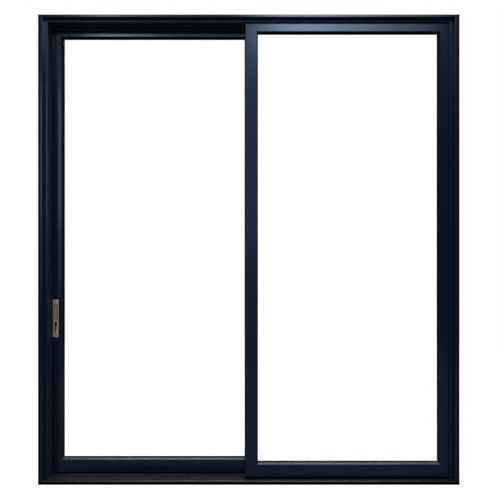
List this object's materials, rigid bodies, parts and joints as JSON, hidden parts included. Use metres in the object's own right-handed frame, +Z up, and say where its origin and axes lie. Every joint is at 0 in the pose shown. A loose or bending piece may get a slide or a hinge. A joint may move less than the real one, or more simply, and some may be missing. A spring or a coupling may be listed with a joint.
{
  "type": "sliding patio door",
  "caption": "Aluminium-framed sliding patio door with sealed clear glazing: a fixed panel, a panel that rolls along the sill track, and a flush pull with a lock lever.",
  "frame": {"origin": "centre of the sill's flat underside, on the line half way through the frame's depth", "axes": "+X to the right seen from outside, +Y from the outside to the inside, +Z up"},
  "size_m": [1.81, 0.15, 2.02],
  "materials": {
    "frame_coat": "satin powder coat, blue-black",
    "sill_coat": "matt charcoal powder coat",
    "rail_steel": "rolled stainless steel",
    "lock_steel": "satin stainless steel",
    "pull_nickel": "satin nickel plate",
    "housing_zinc": "zinc plate",
    "wheel_nylon": "moulded nylon",
    "block_plastic": "moulded setting block",
    "stop_rubber": "moulded rubber",
    "gasket_rubber": "extruded black glazing gasket",
    "spacer_bar": "dark warm-edge bar",
    "pane_glass": "clear float glass"
  },
  "bodies": {
    "frame": {"head": "frame_coat", "sill": "sill_coat", "left_jamb": "frame_coat", "right_jamb": "frame_coat", "sill_tread": "sill_coat", "jamb_filler": "frame_coat", "head_filler": "frame_coat", "roller_rail": "rail_steel", "strike_plate": "lock_steel", "travel_stop": "stop_rubber", "fixed_meeting_stile": "frame_coat", "fixed_jamb_stile": "frame_coat", "fixed_bottom_rail": "frame_coat", "fixed_top_rail": "frame_coat", "fixed_glass_outer": "pane_glass", "fixed_glass_inner": "pane_glass", "fixed_glass_spacer": "spacer_bar", "fixed_gasket": "gasket_rubber", "fixed_glazing_beads": "frame_coat", "fixed_setting_blocks": "block_plastic"},
    "slider": {"slider_lock_stile": "frame_coat", "slider_meeting_stile": "frame_coat", "slider_bottom_rail": "frame_coat", "slider_top_rail": "frame_coat", "slider_glass_outer": "pane_glass", "slider_glass_inner": "pane_glass", "slider_glass_spacer": "spacer_bar", "slider_gasket": "gasket_rubber", "slider_glazing_beads": "frame_coat", "roller_housings": "housing_zinc", "roller_wheels": "wheel_nylon", "pull_plate_outer": "pull_nickel", "pull_plate_inner": "pull_nickel", "lock_faceplate": "lock_steel"},
    "lever": {"lock_lever": "pull_nickel"}
  },
  "joints": [
    {"name": "panel_slide", "type": "slide", "parent": "frame", "child": "slider", "axis": [1, 0, 0], "range_m": [0, 0.825]},
    {"name": "lever_turn", "type": "hinge", "parent": "slider", "child": "lever", "pos_m": [-0.8595, 0.0235, 0.665], "axis": [-1, 0, 0], "range_deg": [0, 156]}
  ]
}
